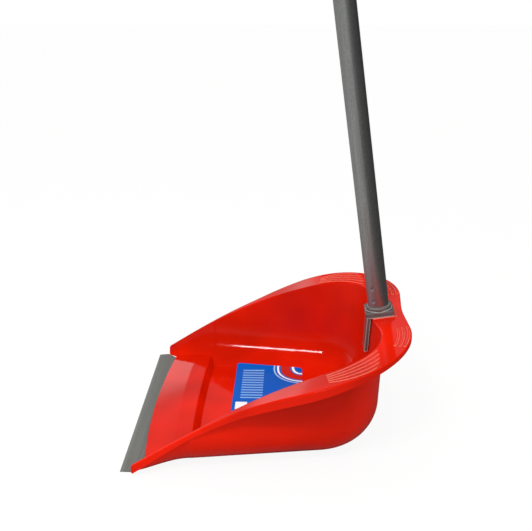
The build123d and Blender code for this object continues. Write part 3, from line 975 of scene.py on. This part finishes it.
@dataclass
class Studio:
    """White floor and surroundings, a soft key and fill light, and the dimmer room that reflections see.

    The room's tops and feet are degrees above the horizon. Its ends, runs and softness are parts of a
    direction one unit long. The floor's run is metres along Y.
    """

    floor_size: float = 12.0
    floor_colour: str = "F2F2F0"
    floor_bounce: str = "969694"
    floor_white: float = 0.9
    floor_mirror: str = "A6A6A6"
    floor_mirror_behind: str = "363636"
    floor_mirror_run: Pair = (-0.45, 0.4)
    ambient_low: float = 0.7
    ambient_high: float = 1.1
    backdrop: float = 1.75
    backdrop_top: float = 22.9
    backdrop_top_softness: float = 0.006
    backdrop_foot: float = 17.0
    backdrop_foot_softness: float = 0.04
    backdrop_end: float = -0.18
    backdrop_end_softness: float = 0.04
    low_room: float = 0.12
    upper_room: float = 0.48
    upper_room_top: float = 33.0
    upper_room_softness: float = 0.03
    horizon: float = 0.5
    horizon_top: float = 12.0
    horizon_softness: float = 0.08
    camera_side: float = 0.06
    camera_side_softness: float = 0.25
    dim_side: float = 0.1
    dim_side_run: Pair = (0.05, 0.6)
    aim: Triple = (-0.1, 0.01, 0.02)
    key_place: Triple = (0.9, -0.34, 1.22)
    key_size: Pair = (0.37, 0.12)
    key_power: float = 8.0
    fill_place: Triple = (1.6, 0.1, 0.45)
    fill_size: Pair = (1.2, 1.2)
    fill_power: float = 9.0

    def build(self) -> None:
        """Build the whole studio."""
        self.build_floor()
        self.build_world()
        self.hang("key_softbox", self.key_place, self.key_size, self.key_power)
        fill = self.hang("fill_softbox", self.fill_place, self.fill_size, self.fill_power)
        fill.visible_glossy = False
        bpy.context.scene.view_settings.view_transform = "Standard"

    def build_floor(self) -> None:
        """Lay the floor, a wide sheet that shows white to the camera and keeps the shadow."""
        bpy.ops.object.select_all(action="DESELECT")
        bpy.ops.mesh.primitive_plane_add(size=self.floor_size, location=(0, 0, 0))
        floor = bpy.context.object
        floor.name = "studio_floor"
        material = bpy.data.materials.new("white_studio_paper")
        material.use_nodes = True
        tree = material.node_tree
        tree.nodes.clear()
        path = add_node(tree, Kind.LIGHT_PATH).outputs
        seen = add_node(
            tree, Kind.MATH, {0: path["Is Camera Ray"], 1: path["Is Transmission Ray"]}, operation="MAXIMUM"
        )
        tint = add_node(
            tree, Kind.MIX,
            {
                Mix.SHARE: seen.outputs[0],
                Mix.COLOUR_A: linear(self.floor_bounce),
                Mix.COLOUR_B: linear(self.floor_colour),
            },
            data_type="RGBA",
        )
        place = add_node(tree, Kind.PLACE).outputs["Object"]
        along = add_node(tree, Kind.SPLIT, {"Vector": place}).outputs["Y"]
        front, behind = self.floor_mirror_run
        fade = add_node(tree, Kind.RANGE, {"Value": along, "From Min": front, "From Max": behind})
        mirror = add_node(
            tree, Kind.MIX,
            {
                Mix.SHARE: fade.outputs[0],
                Mix.COLOUR_A: linear(self.floor_mirror),
                Mix.COLOUR_B: linear(self.floor_mirror_behind),
            },
            data_type="RGBA",
        )
        tint = add_node(
            tree, Kind.MIX,
            {
                Mix.SHARE: path["Is Glossy Ray"],
                Mix.COLOUR_A: tint.outputs[Mixed.COLOUR],
                Mix.COLOUR_B: mirror.outputs[Mixed.COLOUR],
            },
            data_type="RGBA",
        )
        paper = add_node(tree, Kind.DIFFUSE, {"Color": tint.outputs[Mixed.COLOUR]})
        glow = add_node(tree, Kind.EMISSION, {"Color": WHITE, "Strength": 1.0})
        share = add_node(tree, Kind.MATH, {0: seen.outputs[0], 1: self.floor_white}, operation="MULTIPLY")
        mixed = add_node(
            tree, Kind.MIX_SHADERS, {0: share.outputs[0], 1: paper.outputs[0], 2: glow.outputs[0]}
        )
        add_node(tree, Kind.MATERIAL, {"Surface": mixed.outputs[0]})
        floor.data.materials.append(material)

    def build_world(self) -> None:
        """Light the room: white to the camera, the room to reflections, soft light from above to the rest."""
        world = bpy.data.worlds.new("white_studio")
        world.use_nodes = True
        bpy.context.scene.world = world
        tree = world.node_tree
        tree.nodes.clear()
        way = add_node(tree, Kind.PLACE).outputs["Generated"]
        x, y, z = add_node(tree, Kind.SPLIT, {"Vector": way}).outputs
        room = self._reflected_room(tree, x, y, z)
        sky = add_node(
            tree, Kind.RANGE, {"Value": z, "To Min": self.ambient_low, "To Max": self.ambient_high}
        )
        path = add_node(tree, Kind.LIGHT_PATH).outputs
        seen = add_node(
            tree, Kind.MATH, {0: path["Is Camera Ray"], 1: path["Is Transmission Ray"]}, operation="MAXIMUM"
        )
        strength = add_node(
            tree, Kind.MIX,
            {Mix.SHARE: path["Is Glossy Ray"], Mix.VALUE_A: sky.outputs[0], Mix.VALUE_B: room},
        )
        strength = add_node(
            tree, Kind.MIX,
            {Mix.SHARE: seen.outputs[0], Mix.VALUE_A: strength.outputs[Mixed.VALUE], Mix.VALUE_B: 1.0},
        )
        light = add_node(
            tree, Kind.BACKGROUND, {"Color": WHITE, "Strength": strength.outputs[Mixed.VALUE]}
        )
        add_node(tree, Kind.WORLD, {"Surface": light.outputs[0]})

    def _reflected_room(self, tree: Tree, x: Socket, y: Socket, z: Socket) -> Socket:
        """Make the room that reflections see: a backdrop behind the pan, a horizon on the camera's side.

        Args:
            tree: the world's nodes.
            x: the direction's part along X.
            y: the direction's part along Y.
            z: the direction's part along Z.

        Returns:
            How bright the room is in that direction.
        """
        top = sin(radians(self.backdrop_top))
        foot = sin(radians(self.backdrop_foot))
        middle = sin(radians(self.upper_room_top))
        band = sin(radians(self.horizon_top))
        start, full = self.dim_side_run
        # each row: what the fade runs along, its middle, half its length, the value before it and after it
        rows = (
            (z, foot, self.backdrop_foot_softness, self.upper_room, self.backdrop),
            (y, self.backdrop_end, self.backdrop_end_softness, 1.0, 0.0),
            (z, middle, self.upper_room_softness, self.upper_room, self.camera_side),
            (z, top, self.backdrop_top_softness, 1.0, 0.0),
            (z, band, self.horizon_softness, self.horizon, self.camera_side),
            (x, 0.0, self.camera_side_softness, 1.0, 0.0),
            (y, (start + full) / 2, (full - start) / 2, 1.0, self.dim_side),
        )
        fades = []
        for along, place, softness, before, after in rows:
            fade = add_node(
                tree, Kind.RANGE,
                {
                    "Value": along,
                    "From Min": place - softness,
                    "From Max": place + softness,
                    "To Min": before,
                    "To Max": after,
                },
                interpolation_type="SMOOTHSTEP",
            )
            fades.append(fade.outputs[0])
        sheet, within, upper, low, facing, far, turned = fades
        lower = add_node(tree, Kind.MIX, {Mix.SHARE: within, Mix.VALUE_A: self.low_room, Mix.VALUE_B: sheet})
        behind = add_node(
            tree, Kind.MIX,
            {Mix.SHARE: low, Mix.VALUE_A: upper, Mix.VALUE_B: lower.outputs[Mixed.VALUE]},
        )
        around = add_node(
            tree, Kind.MIX,
            {Mix.SHARE: far, Mix.VALUE_A: facing, Mix.VALUE_B: behind.outputs[Mixed.VALUE]},
        )
        room = add_node(tree, Kind.MATH, {0: around.outputs[Mixed.VALUE], 1: turned}, operation="MULTIPLY")
        return room.outputs[0]

    def hang(self, name: str, place: Triple, size: Pair, power: float) -> Piece:
        """Hang a softbox that points at the pan.

        Args:
            name: its name.
            place: where it hangs.
            size: its width and height.
            power: its output in watts.

        Returns:
            The light.
        """
        lamp = bpy.data.lights.new(name, "AREA")
        lamp.shape = "RECTANGLE"
        lamp.size, lamp.size_y = size
        lamp.energy = power
        light = bpy.data.objects.new(name, lamp)
        bpy.context.scene.collection.objects.link(light)
        light.location = place
        aim = Vector(self.aim) - Vector(place)
        light.rotation_euler = aim.to_track_quat("-Z", "Y").to_euler()
        return light


@dataclass
class PhotoCamera:
    """Camera at the photograph's place and angle."""

    place: Triple = (0.8154, 0.0230, 0.4661)
    azimuth: float = 91.94
    elevation: float = 20.03
    focal_pixels: float = 833.0
    sensor: float = 36.0
    clip_start: float = 0.01

    def build(self) -> None:
        """Set the scene's camera."""
        lens = bpy.data.cameras.new("photo_camera")
        lens.sensor_width = self.sensor
        lens.lens = self.focal_pixels / IMAGE_WIDTH * self.sensor
        lens.clip_start = self.clip_start
        camera = bpy.data.objects.new("photo_camera", lens)
        bpy.context.scene.collection.objects.link(camera)
        turn, rise = radians(self.azimuth), radians(self.elevation)
        ahead = -Vector((sin(turn) * cos(rise), -cos(turn) * cos(rise), sin(rise)))
        camera.location = self.place
        camera.rotation_euler = ahead.to_track_quat("-Z", "Y").to_euler()
        bpy.context.scene.camera = camera


def main() -> None:
    """Build the classes in order and report each piece."""
    logging.basicConfig(level=logging.INFO, format="%(name)s: %(message)s")
    PhotoCamera().build()
    Studio().build()

    moulding = PanMoulding()
    pan = moulding.build()
    moulding.dress(pan)

    rubber = RubberLip()
    strip = rubber.build()
    rubber.dress(strip)

    sticker = FloorLabel()
    label = sticker.build(pan)
    sticker.dress(label)

    handle = Handle()
    pieces = handle.build()
    handle.dress(pieces)

    for piece in (pan, strip, label, *pieces):
        log.info("%s: %d faces", piece.name, len(piece.data.polygons))


if __name__ == "__main__":
    main()
